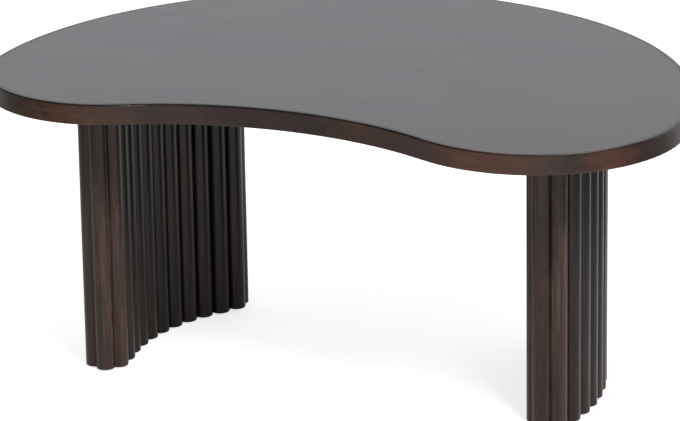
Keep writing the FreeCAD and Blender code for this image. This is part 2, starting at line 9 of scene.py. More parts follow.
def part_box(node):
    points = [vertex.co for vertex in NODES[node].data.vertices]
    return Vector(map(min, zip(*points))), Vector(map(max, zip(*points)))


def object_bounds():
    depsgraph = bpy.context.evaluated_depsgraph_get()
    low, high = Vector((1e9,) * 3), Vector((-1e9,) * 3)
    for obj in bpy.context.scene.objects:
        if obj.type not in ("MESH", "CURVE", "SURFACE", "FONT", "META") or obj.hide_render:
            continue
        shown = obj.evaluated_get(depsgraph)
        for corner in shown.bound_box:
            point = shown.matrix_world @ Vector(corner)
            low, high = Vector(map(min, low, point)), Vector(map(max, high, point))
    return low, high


bl_info = {
    "name": "Kidney-shaped coffee table",
    "version": (1, 0, 0),
    "blender": (4, 5, 0),
    "location": "View3D > Sidebar > Coffee Table",
    "description": "Gives the coffee table its wood, lacquer and fittings, and sets its stage",
    "category": "Object",
}

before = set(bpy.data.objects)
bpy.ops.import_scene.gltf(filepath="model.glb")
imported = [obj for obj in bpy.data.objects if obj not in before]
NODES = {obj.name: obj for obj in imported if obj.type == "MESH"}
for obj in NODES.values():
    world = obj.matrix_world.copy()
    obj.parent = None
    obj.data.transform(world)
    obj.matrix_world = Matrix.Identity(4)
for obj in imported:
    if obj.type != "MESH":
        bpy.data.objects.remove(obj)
CAD_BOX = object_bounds()
FLOOR_LEVEL = CAD_BOX[0].z

LEG_SIDES = ("left", "right")
SLAT_NODES = [f"{side}_leg_{face}_slats" for side in LEG_SIDES for face in ("inner", "outer")]
FRONT_NOSE_NODES = [f"{side}_leg_front_nose" for side in LEG_SIDES]
REAR_NOSE_NODES = [f"{side}_leg_rear_nose" for side in LEG_SIDES]
CORE_NODES = [f"{side}_leg_core" for side in LEG_SIDES]
PLATE_NODES = [f"{side}_leg_head_plate" for side in LEG_SIDES]
STEEL_NODES = ["plate_screws", "leg_bolts", "bolt_washers", "threaded_inserts", "glide_nails"]

# In the constants below, a grain or a stretch is a pattern's cycles per metre along X, Y and Z.
# A noise is its scale, detail and roughness, and its distortion where it has one. A range is
# where a value starts and where it is full, and what it becomes there if that isn't 0 and 1.
# A relief is its strength and its depth in metres.

# The wood's figure: how the grain runs, and the noises along it.
FACE_GRAIN = (2.4, 30.0, 30.0)
BAND_GRAIN = (7.0, 7.0, 85.0)
LEG_GRAIN = (120.0, 120.0, 3.6)
STREAKS = (1.0, 6.0, 0.62, 0.4)
FINE_LINES = (4.3, 3.0, 0.7, 0.1)
STREAK_SHARE = 0.75
FINE_LINE_SHARE = 0.3
TONE_RANGE = (0.36, 0.74)

# The pores lie this many times closer than the streaks.
PORE_CLOSENESS = 4.0
PORES = (2.2, 2.0, 0.5)
PORE_RANGE = (0.30, 0.40)
PORE_STRENGTH = 0.55
PORE_SHADE = 0.35

# Patches of thin stain: their stretch, where the pattern starts, and their range.
FACE_PATCHES = ((2.5, 9.0, 9.0), (0.0, 0.0, 0.0), (0.50, 0.80))
BAND_PATCHES = ((7.0, 7.0, 12.0), (8.2, 0.5, 0.0), (0.52, 0.86))
SLAT_PATCHES = ((17.0, 17.0, 5.0), (0.0, 0.0, 0.0), (0.48, 0.80))
NOSE_PATCHES = ((34.0, 34.0, 7.0), (0.0, 0.0, 0.0), (0.44, 0.80))
PATCH_NOISE = (1.0, 4.0, 0.55, 0.6)
MOTTLE_RANGE = (0.30, 0.62, 0.35, 1.0)

# Places where the stain is painted thinner and warmer: centre, reach in metres and strength.
# On the band these lighter places lie on its lobes and at its right end.
BAND_LIGHTER_PLACES = (
    ((-0.296, -0.282, 0.385), 0.110, 0.85),
    ((0.252, -0.312, 0.385), 0.110, 1.0),
    ((0.402, -0.253, 0.385), 0.050, 0.85),
    ((0.125, -0.266, 0.385), 0.090, 0.28),
)
SLAT_WORN_PLACES = (
    ((-0.281, 0.011, 0.165), 0.038, 0.80),
    ((-0.258, 0.054, 0.080), 0.045, 0.50),
    ((-0.225, 0.116, 0.080), 0.050, 0.55),
    ((0.324, -0.151, 0.270), 0.036, 0.45),
    ((0.324, -0.151, 0.165), 0.036, 0.50),
    ((0.324, -0.151, 0.050), 0.036, 0.45),
)
# On the front mouldings these places are partly wear and partly painted light: they lighten the
# middle of the lit front and leave the upper ends dark.
NOSE_WEAR_AND_PAINTED_LIGHT_PLACES = (
    ((-0.300, -0.165, 0.175), 0.046, 1.00),
    ((-0.294, -0.158, 0.100), 0.080, 0.45),
    ((0.306, -0.175, 0.150), 0.080, 0.10),
)
# A worn place has its full strength within this share of its reach.
WORN_MIDDLE = 0.25
# How much a distance from its centre counts along X, Y and Z: on a leg, a worn place runs on
# along the grain.
EVEN_WEIGHTS = (1.0, 1.0, 1.0)
LEG_WORN_WEIGHTS = (1.0, 1.0, 0.4)
# Small clouds, this many times closer than the patches, break up a worn place.
CLOUD_CLOSENESS = 4.0
CLOUDS = (1.0, 4.0, 0.6)
CLOUD_RANGE = (0.34, 0.62, 0.45, 1.0)

# Pale flecks of the front mouldings, most of them where the stain is thin.
NOSE_FLECKS = 0.5
FLECK_CLOSENESS = 2.6
FLECKS = (1.0, 4.0, 0.6, 1.2)
FLECK_RANGE = (0.54, 0.68)
FLECK_STAIN_RANGE = (0.0, 0.5, 0.2, 1.0)
FLECK_GAIN = 1.7
FLECK_LIFT = 0.01

# The slats and the rounds of the end mouldings stand about this far apart, and differ in tone.
STRIP_SPACING = 0.027
STRIP_TONES = (1.0, 0.0, 0.55)
STRIP_RANGE = (0.30, 0.70, 0.82, 1.20)

# Lower edges are rubbed a little lighter, this far up from them in metres.
BAND_RUBBED_REACH = 0.0010
LEG_RUBBED_REACH = 0.003
RUBBING_STRETCH = (38.0, 38.0, 38.0)
RUBBING = (1.0, 5.0, 0.65)
RUBBING_RANGE = (0.46, 0.70)
RUBBING_STRENGTH = 0.5

# The upper edge of the band is painted darker this far down from it: painted shade that stands
# in for the dark reflection in its rounded edge.
BAND_DARK_RIM_REACH = 0.0022
DARK_RIM_MIDDLE = 0.6
DARK_RIM_STRENGTH = 0.85
DARK_RIM_SHADE = 0.4

# The upper edge of the band has a painted highlight at the right front, a lighter colour
# standing in for a glint of light there: depth, centre and reach.
BAND_GLINT_DEPTH = 0.0008
BAND_GLINT_CENTRE = (0.335, -0.296, 0.400)
BAND_GLINT_REACH = 0.110
GLINT_MIDDLE = 0.6
GLINT_RANGE = (0.25, 0.55, 0.55, 1.0)

# The lacquer: how much its roughness varies, where a piece counts as facing up, and its relief.
LACQUER_IOR = 1.5
ROUGHNESS_SPREAD = 0.16
UPWARD_RANGE = (0.75, 0.98)
PORE_RELIEF = 0.6
STREAK_RELIEF = 0.4
RELIEF_DEPTH = 0.0004
RELIEF_STRENGTH = 0.12
FACE_RELIEF_STRENGTH = 0.05

# The unstained board.
BOARD_GRAIN = (260.0, 300.0, 320.0)
BOARD_FIBRES = (1.0, 6.0, 0.7)
BOARD_CLUMP_STRETCH = (40.0, 40.0, 40.0)
BOARD_CLUMPS = (1.0, 3.0, 0.5)
BOARD_TONE_RANGE = (0.75, 1.25)
BOARD_ROUGHNESS_RANGE = (0.3, 0.7, 0.7, 0.9)
BOARD_RELIEF = (0.3, 0.0005)

# The zinc-plated steel.
BRUSHING_STRETCH = (900.0, 60.0, 900.0)
BRUSHING = (1.0, 3.0, 0.6)
PLATING_STRETCH = (90.0, 90.0, 90.0)
PLATING = (1.0, 4.0, 0.6)
PLATING_RANGE = (0.35, 0.65)
PLATING_SHADE = 0.78
PLATING_ROUGHNESS_RANGE = (0.3, 0.7, 0.30, 0.48)
BRUSHING_RELIEF = (0.08, 0.0002)

# The nylon glides.
SCUFF_STRETCH = (420.0, 90.0, 420.0)
SCUFFS = (1.0, 5.0, 0.7)
SCUFF_RANGE = (0.5, 0.72)
SCUFF_GAIN = 2.4
SCUFF_ROUGHNESS_RANGE = (0.3, 0.7, 0.42, 0.62)
SKIN_STRETCH = (1500.0, 1500.0, 1500.0)
SKIN = (1.0, 2.0, 0.5)
SKIN_RELIEF = (0.15, 0.0002)

# The floor, and the sheet of pale paper that the lacquer mirrors in it: how far its middle lies
# to the left, and the ranges in metres in which it ends on both sides and spreads out behind.
WHITE = (1.0, 1.0, 1.0)
FLOOR_CORNERS = 96
FLOOR_STRETCH = (3.0, 3.0, 3.0)
FLOOR_CLOUDS = (1.0, 3.0, 0.5)
FLOOR_CLOUD_RANGE = (0.3, 0.7)
FLOOR_CLOUD_SHADE = 0.99
PAPER_SHIFT = 0.15
PAPER_SIDE_RANGE = (0.80, 1.50)
PAPER_BACK_RANGE = (-0.1, 0.6)

# The white room: its tint on the table, and how far to the front and up its levels change.
ROOM_TINT = (0.960, 0.993, 1.043)
ROOM_FRONT_RANGE = (0.1, 0.7)
ROOM_OVERHEAD_RANGE = (0.25, 0.45)

LAMP_PLACE = Vector((1.9, -1.5, 2.7))
LAMP_AIM = Vector((0.0, 0.0, 0.2))
LAMP_SIZE = 1.3

SENSOR_WIDTH = 36.0
NEAREST_SEEN = 0.05
FARTHEST_SEEN = 60.0

# The sockets of a Mix node that blends colours.
MIX_FACTOR, MIX_FIRST, MIX_SECOND = 0, 6, 7
MIX_RESULT = 2


class WoodFinish(bpy.types.PropertyGroup):
    """Colours of the wood and of its stain, and of a painted highlight on the band"""
    face_dark: FloatVectorProperty(
        name="Face, dark grain", description="Darkest stain on the top's face veneer",
        subtype="COLOR", size=3, min=0.0, max=1.0, default=(0.0050, 0.0030, 0.0026))
    face_light: FloatVectorProperty(
        name="Face, light grain", description="Lightest stain on the top's face veneer",
        subtype="COLOR", size=3, min=0.0, max=1.0, default=(0.026, 0.0155, 0.0110))
    face_warm: FloatVectorProperty(
        name="Face, thin stain", description="Wood showing through thin stain on the top's face",
        subtype="COLOR", size=3, min=0.0, max=1.0, default=(0.042, 0.0230, 0.0150))
    band_dark: FloatVectorProperty(
        name="Band, dark grain", description="Darkest stain on the edge band",
        subtype="COLOR", size=3, min=0.0, max=1.0, default=(0.0120, 0.0060, 0.0050))
    band_light: FloatVectorProperty(
        name="Band, light grain", description="Lightest stain on the edge band",
        subtype="COLOR", size=3, min=0.0, max=1.0, default=(0.038, 0.0185, 0.0150))
    band_warm: FloatVectorProperty(
        name="Band, thin stain", description="Wood showing through thin stain on the edge band",
        subtype="COLOR", size=3, min=0.0, max=1.0, default=(0.112, 0.041, 0.018))
    # A painted highlight: this lighter colour in the band's upper edge stands in for a glint of
    # light.
    band_glint: FloatVectorProperty(
        name="Band, painted glint", description="Colour of the highlight painted in the upper edge",
        subtype="COLOR", size=3, min=0.0, max=1.0, default=(0.085, 0.066, 0.056))
    slat_dark: FloatVectorProperty(
        name="Slat, dark grain", description="Darkest stain on the slats",
        subtype="COLOR", size=3, min=0.0, max=1.0, default=(0.0034, 0.0031, 0.0033))
    slat_light: FloatVectorProperty(
        name="Slat, light grain", description="Lightest stain on the slats",
        subtype="COLOR", size=3, min=0.0, max=1.0, default=(0.0190, 0.0146, 0.0142))
    slat_warm: FloatVectorProperty(
        name="Slat, thin stain", description="Wood showing through thin stain on the slats",
        subtype="COLOR", size=3, min=0.0, max=1.0, default=(0.056, 0.020, 0.012))
    # The front mouldings are the same wood as the slats and the rear mouldings, but lighter and
    # browner: partly worn, thinner stain and partly painted light on their front faces.
    nose_dark: FloatVectorProperty(
        name="End moulding, dark grain", description="Darkest stain on the front end mouldings",
        subtype="COLOR", size=3, min=0.0, max=1.0, default=(0.012, 0.0060, 0.0040))
    nose_light: FloatVectorProperty(
        name="End moulding, light grain",
        description="Lightest stain on the front end mouldings",
        subtype="COLOR", size=3, min=0.0, max=1.0, default=(0.054, 0.0230, 0.0165))
    nose_warm: FloatVectorProperty(
        name="End moulding, thin stain",
        description="Wood showing through thin stain on the front end mouldings",
        subtype="COLOR", size=3, min=0.0, max=1.0, default=(0.094, 0.054, 0.040))
    raw_dark: FloatVectorProperty(
        name="Raw board, dark", description="Dark fibres of the unstained board",
        subtype="COLOR", size=3, min=0.0, max=1.0, default=(0.20, 0.12, 0.065))
    raw_light: FloatVectorProperty(
        name="Raw board, light", description="Light fibres of the unstained board",
        subtype="COLOR", size=3, min=0.0, max=1.0, default=(0.46, 0.32, 0.19))


class LacquerFinish(bpy.types.PropertyGroup):
    """Sheen of the lacquer over the stain"""
    face_roughness: FloatProperty(
        name="Face roughness", description="Roughness of the satin lacquer on the top's face",
        subtype="FACTOR", min=0.0, max=1.0, default=0.24)
    band_roughness: FloatProperty(
        name="Band roughness", description="Roughness of the lacquer on the edge band",
        subtype="FACTOR", min=0.0, max=1.0, default=0.36)
    leg_roughness: FloatProperty(
        name="Leg roughness", description="Roughness of the lacquer on the legs",
        subtype="FACTOR", min=0.0, max=1.0, default=0.27)
    face_shine: FloatProperty(
        name="Face shine", description="Specular level of the lacquer on the top's face",
        subtype="FACTOR", min=0.0, max=1.0, default=0.70)
    band_shine: FloatProperty(
        name="Band shine", description="Specular level of the thinner lacquer on the edge band",
        subtype="FACTOR", min=0.0, max=1.0, default=0.38)
    leg_shine: FloatProperty(
        name="Leg shine", description="Specular level of the thinner lacquer on the legs",
        subtype="FACTOR", min=0.0, max=1.0, default=0.30)


class FittingFinish(bpy.types.PropertyGroup):
    """Colours of the steel fittings and of the glides"""
    zinc: FloatVectorProperty(
        name="Zinc", description="Colour of the zinc-plated steel",
        subtype="COLOR", size=3, min=0.0, max=1.0, default=(0.56, 0.57, 0.58))
    nylon: FloatVectorProperty(
        name="Nylon", description="Colour of the glides under the legs",
        subtype="COLOR", size=3, min=0.0, max=1.0, default=(0.018, 0.018, 0.019))


class StageSettings(bpy.types.PropertyGroup):
    """The camera, the lamp, the room and the floor"""
    camera_place: FloatVectorProperty(
        name="Camera", description="Where the camera stands",
        subtype="TRANSLATION", unit="LENGTH", size=3, default=(1.7694, -4.8883, 1.9896))
    camera_azimuth: FloatProperty(
        name="Azimuth", description="How far the camera has gone round from the front",
        subtype="ANGLE", default=math.radians(20.279))
    camera_elevation: FloatProperty(
        name="Elevation", description="How far the camera looks down",
        subtype="ANGLE", default=math.radians(19.020))
    camera_roll: FloatProperty(
        name="Roll", description="How far the camera is tilted clockwise",
        subtype="ANGLE", default=math.radians(0.937))
    lens: FloatProperty(
        name="Lens", description="Focal length for a sensor 36 mm wide, in millimetres",
        min=10.0, max=400.0, default=226.62)
    floor_radius: FloatProperty(
        name="Floor radius", description="Radius of the floor",
        subtype="DISTANCE", unit="LENGTH", default=14.0)
    floor_colour: FloatVectorProperty(
        name="Floor", description="Colour of the floor",
        subtype="COLOR", size=3, min=0.0, max=1.0, default=(0.872, 0.860, 0.838))
    floor_lift: FloatProperty(
        name="Floor lift", description="How much whiter than lit the floor looks to the camera",
        min=0.0, max=1.0, default=0.74)
    floor_glossy_lift: FloatProperty(
        name="Floor lift in reflections",
        description="How much whiter than lit the floor looks in the lacquer",
        min=0.0, max=1.0, default=0.24)
    paper_turn: FloatProperty(
        name="Paper turn", description="How far the pale paper on the floor is turned",
        subtype="ANGLE", default=math.radians(20.0))
    paper_edge: FloatProperty(
        name="Beside the paper", description="Level of the floor beside the pale paper",
        subtype="FACTOR", min=0.0, max=1.0, default=0.22)
    sky_level: FloatProperty(
        name="Room level", description="Level of the white room behind the table",
        min=0.0, max=2.0, default=1.03)
    sky_overhead: FloatProperty(
        name="Overhead", description="Level straight above, as a share of the room level",
        min=0.0, max=1.0, default=0.68)
    sky_front: FloatProperty(
        name="Front", description="Level on the viewer's side, as a share of the room level",
        min=0.0, max=1.0, default=0.38)
    key_power: FloatProperty(
        name="Key lamp", description="Power of the soft lamp on the front right",
        subtype="POWER", unit="POWER", default=92.0)


def add(tree, kind, settings=None, inputs=None):
    """Add a node, set its attributes, and set or link its inputs."""
    node = tree.nodes.new(kind)
    for name, value in (settings or {}).items():
        setattr(node, name, value)
    for name, value in (inputs or {}).items():
        socket = node.inputs[name]
        if isinstance(value, bpy.types.NodeSocket):
            tree.links.new(value, socket)
        else:
            socket.default_value = value
    return node


def new_material(name):
    """Make a material with an empty node tree, and return both."""
    material = bpy.data.materials.new(name)
    material.use_nodes = True
    material.node_tree.nodes.clear()
    return material, material.node_tree


def math_node(tree, operation, *values):
    """The result of a Math node."""
    return add(tree, "ShaderNodeMath", {"operation": operation},
               dict(enumerate(values))).outputs[0]


def vector_node(tree, operation, first, second, result="Value"):
    """The result of a Vector Math node: its Value or its Vector."""
    return add(tree, "ShaderNodeVectorMath", {"operation": operation},
               {0: first, 1: second}).outputs[result]


def product(tree, value, *factors):
    """Multiply a value by one factor after the other."""
    for factor in factors:
        value = math_node(tree, "MULTIPLY", value, factor)
    return value


def remap(tree, value, low, high, new_low=0.0, new_high=1.0):
    """Carry a value from one range over to another, and keep it inside."""
    return add(tree, "ShaderNodeMapRange", {"clamp": True},
               {"Value": value, "From Min": low, "From Max": high,
                "To Min": new_low, "To Max": new_high}).outputs[0]


def times(numbers, factor):
    """Multiply each of some numbers by the same factor."""
    return tuple(factor * number for number in numbers)


def blend_colours(tree, factor, first, second, kind="MIX"):
    """Blend two colours, each a socket or its red, green and blue."""
    inputs = {MIX_FACTOR: factor}
    for index, colour in ((MIX_FIRST, first), (MIX_SECOND, second)):
        linked = isinstance(colour, bpy.types.NodeSocket)
        inputs[index] = colour if linked else (*colour, 1.0)
    return add(tree, "ShaderNodeMix", {"data_type": "RGBA", "blend_type": kind},
               inputs).outputs[MIX_RESULT]


def shaded(tree, colour, level):
    """Multiply all channels of a colour by a level."""
    grey = add(tree, "ShaderNodeCombineColor", None, {0: level, 1: level, 2: level}).outputs[0]
    return blend_colours(tree, 1.0, colour, grey, "MULTIPLY")


def coordinates(tree, kind="Object"):
    """Coordinates from the tree's one Texture Coordinate node."""
    node = tree.nodes.get("Texture Coordinate") or add(tree, "ShaderNodeTexCoord")
    return node.outputs[kind]


def parts(tree, vector):
    """A vector's X, Y and Z."""
    return add(tree, "ShaderNodeSeparateXYZ", None, {0: vector}).outputs


def height(tree):
    """How high a point lies in the frame."""
    return parts(tree, coordinates(tree))["Z"]


def stretched(tree, stretch, offset=(0.0, 0.0, 0.0)):
    """The object's own coordinates, stretched so that noise turns into streaks."""
    return add(tree, "ShaderNodeMapping", None,
               {"Vector": coordinates(tree), "Location": offset, "Scale": stretch}).outputs[0]


def noise(tree, space, scale, detail, roughness, distortion=0.0):
    """The level of a noise in a stretched space."""
    return add(tree, "ShaderNodeTexNoise", None,
               {"Vector": space, "Scale": scale, "Detail": detail, "Roughness": roughness,
                "Distortion": distortion}).outputs["Fac"]


def bumped(tree, relief, strength, depth):
    """The surface's normal with a relief in it."""
    return add(tree, "ShaderNodeBump", None,
               {"Strength": strength, "Distance": depth, "Height": relief}).outputs[0]


def finish_surface(tree, colour, roughness, normal, constants=None):
    """Join colour, roughness and relief in the tree's shader, with its constant inputs."""
    shader = add(tree, "ShaderNodeBsdfPrincipled", None,
                 {"Base Color": colour, "Roughness": roughness, "Normal": normal,
                  **(constants or {})})
    add(tree, "ShaderNodeOutputMaterial", None, {"Surface": shader.outputs[0]})


def thin_stain(tree, patches, worn_places, worn_weights):
    """How thin the stain lies: in patches all over, and in the worn places."""
    stretch, start, patch_range = patches
    thin = remap(tree, noise(tree, stretched(tree, stretch, start), *PATCH_NOISE), *patch_range)
    if not worn_places:
        return thin
    clouds = noise(tree, stretched(tree, times(stretch, CLOUD_CLOSENESS)), *CLOUDS)
    cloudy = remap(tree, clouds, *CLOUD_RANGE)
    here = vector_node(tree, "MULTIPLY", coordinates(tree), worn_weights, "Vector")
    for centre, reach, strength in worn_places:
        middle = tuple(number * weight for number, weight in zip(centre, worn_weights))
        away = vector_node(tree, "DISTANCE", here, middle)
        worn = remap(tree, away, WORN_MIDDLE * reach, reach, strength, 0.0)
        thin = math_node(tree, "MAXIMUM", thin, product(tree, worn, cloudy))
    return thin


def stained_grain(tree, colours, streaks, fine_lines, pores, thin):
    """Light and dark grain, with warm wood where the stain is thin, and dark pores."""
    dark, light, warm = colours
    tone = math_node(tree, "ADD", product(tree, streaks, STREAK_SHARE),
                     product(tree, fine_lines, FINE_LINE_SHARE))
    colour = blend_colours(tree, remap(tree, tone, *TONE_RANGE), dark, light)
    mottled = product(tree, thin, remap(tree, fine_lines, *MOTTLE_RANGE))
    colour = blend_colours(tree, mottled, colour, warm)
    deep = remap(tree, pores, 0.0, 1.0, PORE_STRENGTH, 0.0)
    return blend_colours(tree, deep, colour, times(dark, PORE_SHADE))


def flecked(tree, colour, warm, grain, thin, strength):
    """Pale flecks along the grain, most of them where the stain is thin."""
    flecks = noise(tree, stretched(tree, times(grain, FLECK_CLOSENESS)), *FLECKS)
    share = product(tree, remap(tree, flecks, *FLECK_RANGE, 0.0, strength),
                    remap(tree, thin, *FLECK_STAIN_RANGE))
    pale = tuple(FLECK_GAIN * channel + FLECK_LIFT for channel in warm)
    return blend_colours(tree, share, colour, pale)


def toned_strips(tree, colour, spacing):
    """Another tone for each of the upright strips that stand this far apart."""
    across = 1.0 / spacing
    tones = noise(tree, stretched(tree, (across, across, 0.0)), *STRIP_TONES)
    return shaded(tree, colour, remap(tree, tones, *STRIP_RANGE))


def away_from(tree, edge):
    """How far above or below an edge a point lies."""
    return math_node(tree, "ABSOLUTE", math_node(tree, "SUBTRACT", height(tree), edge))


def rubbed_edge(tree, colour, warm, edge, reach):
    """An edge that use has rubbed lighter, in broken patches."""
    near = remap(tree, away_from(tree, edge), 0.0, reach, 1.0, 0.0)
    broken = remap(tree, noise(tree, stretched(tree, RUBBING_STRETCH), *RUBBING),
                   *RUBBING_RANGE)
    return blend_colours(tree, product(tree, near, broken, RUBBING_STRENGTH), colour, warm)


def painted_dark_rim(tree, colour, dark, edge, reach):
    """An edge painted darker: painted shade for the dark reflection along it."""
    near = remap(tree, away_from(tree, edge), DARK_RIM_MIDDLE * reach, reach,
                 DARK_RIM_STRENGTH, 0.0)
    return blend_colours(tree, near, colour, times(dark, DARK_RIM_SHADE))


def painted_glint(tree, colour, fine_lines, edge, glint):
    """A place in an upper edge painted lighter: a painted highlight."""
    above = remap(tree, height(tree), edge - BAND_GLINT_DEPTH, edge - 0.5 * BAND_GLINT_DEPTH)
    away = vector_node(tree, "DISTANCE", coordinates(tree), BAND_GLINT_CENTRE)
    near = remap(tree, away, GLINT_MIDDLE * BAND_GLINT_REACH, BAND_GLINT_REACH, 1.0, 0.0)
    share = product(tree, above, near, remap(tree, fine_lines, *GLINT_RANGE))
    return blend_colours(tree, share, colour, glint)


def wood(name, colours, grain, patches, roughness, shine, worn_places=(),
         worn_weights=EVEN_WEIGHTS, flecks=0.0, spacing=0.0, rubbed=None, dark_rim=None,
         glint=None, upper_roughness=None, relief_strength=RELIEF_STRENGTH):
    """Stained wood under satin lacquer, with streaks, pores and patches of thin stain.

    Where they are given, it also has pale flecks of this strength, a tone for each upright
    strip, an edge rubbed lighter and an edge painted darker as painted shade, each as its level
    and reach, a painted highlight in an upper edge, as its level and colour, and another
    roughness where the piece faces up."""
    dark, _, warm = colours
    material, tree = new_material(name)
    along_grain = stretched(tree, grain)
    streaks = noise(tree, along_grain, *STREAKS)
    fine_lines = noise(tree, along_grain, *FINE_LINES)
    pores = remap(tree, noise(tree, stretched(tree, times(grain, PORE_CLOSENESS)), *PORES),
                  *PORE_RANGE)
    thin = thin_stain(tree, patches, worn_places, worn_weights)

    colour = stained_grain(tree, colours, streaks, fine_lines, pores, thin)
    if flecks:
        colour = flecked(tree, colour, warm, grain, thin, flecks)
    if spacing:
        colour = toned_strips(tree, colour, spacing)
    if rubbed:
        colour = rubbed_edge(tree, colour, warm, *rubbed)
    # Painted shade: an upper edge is painted darker for the dark reflection in it.
    if dark_rim:
        colour = painted_dark_rim(tree, colour, dark, *dark_rim)
    # Painted highlight: one place in an upper edge is painted lighter, standing in for a glint.
    if glint:
        colour = painted_glint(tree, colour, fine_lines, *glint)

    gloss = math_node(tree, "ADD", product(tree, fine_lines, ROUGHNESS_SPREAD),
                      roughness - 0.5 * ROUGHNESS_SPREAD)
    if upper_roughness is not None:
        upward = parts(tree, coordinates(tree, "Normal"))["Z"]
        gloss = math_node(tree, "ADD", gloss,
                          remap(tree, upward, *UPWARD_RANGE, 0.0, upper_roughness - roughness))
    relief = math_node(tree, "ADD", product(tree, pores, PORE_RELIEF),
                       product(tree, streaks, STREAK_RELIEF))
    finish_surface(tree, colour, gloss, bumped(tree, relief, relief_strength, RELIEF_DEPTH),
                   {"IOR": LACQUER_IOR, "Specular IOR Level": shine})
    return material


def raw_board(name, dark, light):
    """Unstained wood fibres, dull and uneven."""
    material, tree = new_material(name)
    fibres = noise(tree, stretched(tree, BOARD_GRAIN), *BOARD_FIBRES)
    clumps = noise(tree, stretched(tree, BOARD_CLUMP_STRETCH), *BOARD_CLUMPS)
    tone = remap(tree, math_node(tree, "ADD", fibres, clumps), *BOARD_TONE_RANGE)
    finish_surface(tree, blend_colours(tree, tone, dark, light),
                   remap(tree, fibres, *BOARD_ROUGHNESS_RANGE),
                   bumped(tree, fibres, *BOARD_RELIEF))
    return material


def zinc_steel(name, tint):
    """Zinc-plated steel: fine brushing, cloudy plating and dull spots."""
    material, tree = new_material(name)
    brushing = noise(tree, stretched(tree, BRUSHING_STRETCH), *BRUSHING)
    plating = noise(tree, stretched(tree, PLATING_STRETCH), *PLATING)
    colour = blend_colours(tree, remap(tree, plating, *PLATING_RANGE),
                           times(tint, PLATING_SHADE), tint)
    finish_surface(tree, colour, remap(tree, plating, *PLATING_ROUGHNESS_RANGE),
                   bumped(tree, brushing, *BRUSHING_RELIEF), {"Metallic": 1.0})
    return material


def moulded_nylon(name, tint):
    """Moulded nylon, scuffed where it slides over a floor."""
    material, tree = new_material(name)
    scuffs = noise(tree, stretched(tree, SCUFF_STRETCH), *SCUFFS)
    skin = noise(tree, stretched(tree, SKIN_STRETCH), *SKIN)
    colour = blend_colours(tree, remap(tree, scuffs, *SCUFF_RANGE), tint,
                           times(tint, SCUFF_GAIN))
    finish_surface(tree, colour, remap(tree, scuffs, *SCUFF_ROUGHNESS_RANGE),
                   bumped(tree, skin, *SKIN_RELIEF))
    return material


def seen_directly(tree, rays):
    """1 for the camera and for what is seen through glass, and 0 for all other rays."""
    return math_node(tree, "MAXIMUM", rays["Is Camera Ray"], rays["Is Transmission Ray"])


def pale_paper(tree, settings):
    """Where the floor mirrors as pale paper: 1 on the sheet, whose sides end beside the table,
    and behind it, and the level beside the paper elsewhere."""
    turn = settings.paper_turn
    right = (math.cos(turn), math.sin(turn), 0.0)
    back = (-math.sin(turn), math.cos(turn), 0.0)
    across = vector_node(tree, "DOT_PRODUCT", coordinates(tree), right)
    behind = vector_node(tree, "DOT_PRODUCT", coordinates(tree), back)
    beside = math_node(tree, "ABSOLUTE", math_node(tree, "ADD", across, PAPER_SHIFT))
    sheet = remap(tree, beside, *PAPER_SIDE_RANGE, 1.0, settings.paper_edge)
    return math_node(tree, "MAXIMUM", sheet, remap(tree, behind, *PAPER_BACK_RANGE))


def pale_floor(name, settings):
    """A faintly clouded pale floor, lifted to white for the camera and in the lacquer."""
    material, tree = new_material(name)
    rays = add(tree, "ShaderNodeLightPath").outputs
    seen = seen_directly(tree, rays)
    clouds = noise(tree, stretched(tree, FLOOR_STRETCH), *FLOOR_CLOUDS)
    colour = blend_colours(tree, remap(tree, clouds, *FLOOR_CLOUD_RANGE),
                           times(settings.floor_colour, FLOOR_CLOUD_SHADE),
                           settings.floor_colour)
    paper = pale_paper(tree, settings)
    colour = shaded(tree, colour, math_node(tree, "MAXIMUM", paper, seen))
    matte = add(tree, "ShaderNodeBsdfDiffuse", None, {"Color": colour})
    mirrored = product(tree, rays["Is Glossy Ray"], paper)
    lift = math_node(tree, "ADD", product(tree, seen, settings.floor_lift),
                     product(tree, mirrored, settings.floor_glossy_lift))
    glow = add(tree, "ShaderNodeEmission", None, {"Color": (*WHITE, 1.0), "Strength": lift})
    both = add(tree, "ShaderNodeAddShader", None, {0: matte.outputs[0], 1: glow.outputs[0]})
    add(tree, "ShaderNodeOutputMaterial", None, {"Surface": both.outputs[0]})
    return material


def dress(node_names, material):
    """Give nodes of the frame a material."""
    for name in node_names:
        slots = NODES[name].data.materials
        slots.clear()
        slots.append(material)


class TABLE_OT_face_veneer(bpy.types.Operator):
    """Lay the stained and lacquered veneer on the face and the underside of the top"""
    bl_idname = "coffee_table.face_veneer"
    bl_label = "Face Veneer"

    def execute(self, context):
        finish = context.scene.table_wood
        lacquer = context.scene.table_lacquer
        colours = (finish.face_dark, finish.face_light, finish.face_warm)
        dress(["top_face_veneer", "underside_veneer"],
              wood("Dark walnut veneer", colours, FACE_GRAIN, FACE_PATCHES,
                   lacquer.face_roughness, lacquer.face_shine,
                   relief_strength=FACE_RELIEF_STRENGTH))
        return {"FINISHED"}


class TABLE_OT_edge_band(bpy.types.Operator):
    """Stain and lacquer the edge band, with painted shade along its upper edge and a painted
    highlight in it at the right front, and rubbed lighter along its lower edge"""
    bl_idname = "coffee_table.edge_band"
    bl_label = "Edge Band"

    def execute(self, context):
        finish = context.scene.table_wood
        lacquer = context.scene.table_lacquer
        low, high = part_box("edge_band")
        colours = (finish.band_dark, finish.band_light, finish.band_warm)
        dress(["edge_band"],
              wood("Reddish walnut band", colours, BAND_GRAIN, BAND_PATCHES,
                   lacquer.band_roughness, lacquer.band_shine, BAND_LIGHTER_PLACES,
                   # The darker upper edge is painted shade for the dark reflection in it.
                   rubbed=(low.z, BAND_RUBBED_REACH), dark_rim=(high.z, BAND_DARK_RIM_REACH),
                   # The lighter place in the upper edge is a painted highlight.
                   glint=(high.z, finish.band_glint), upper_roughness=lacquer.face_roughness))
        return {"FINISHED"}


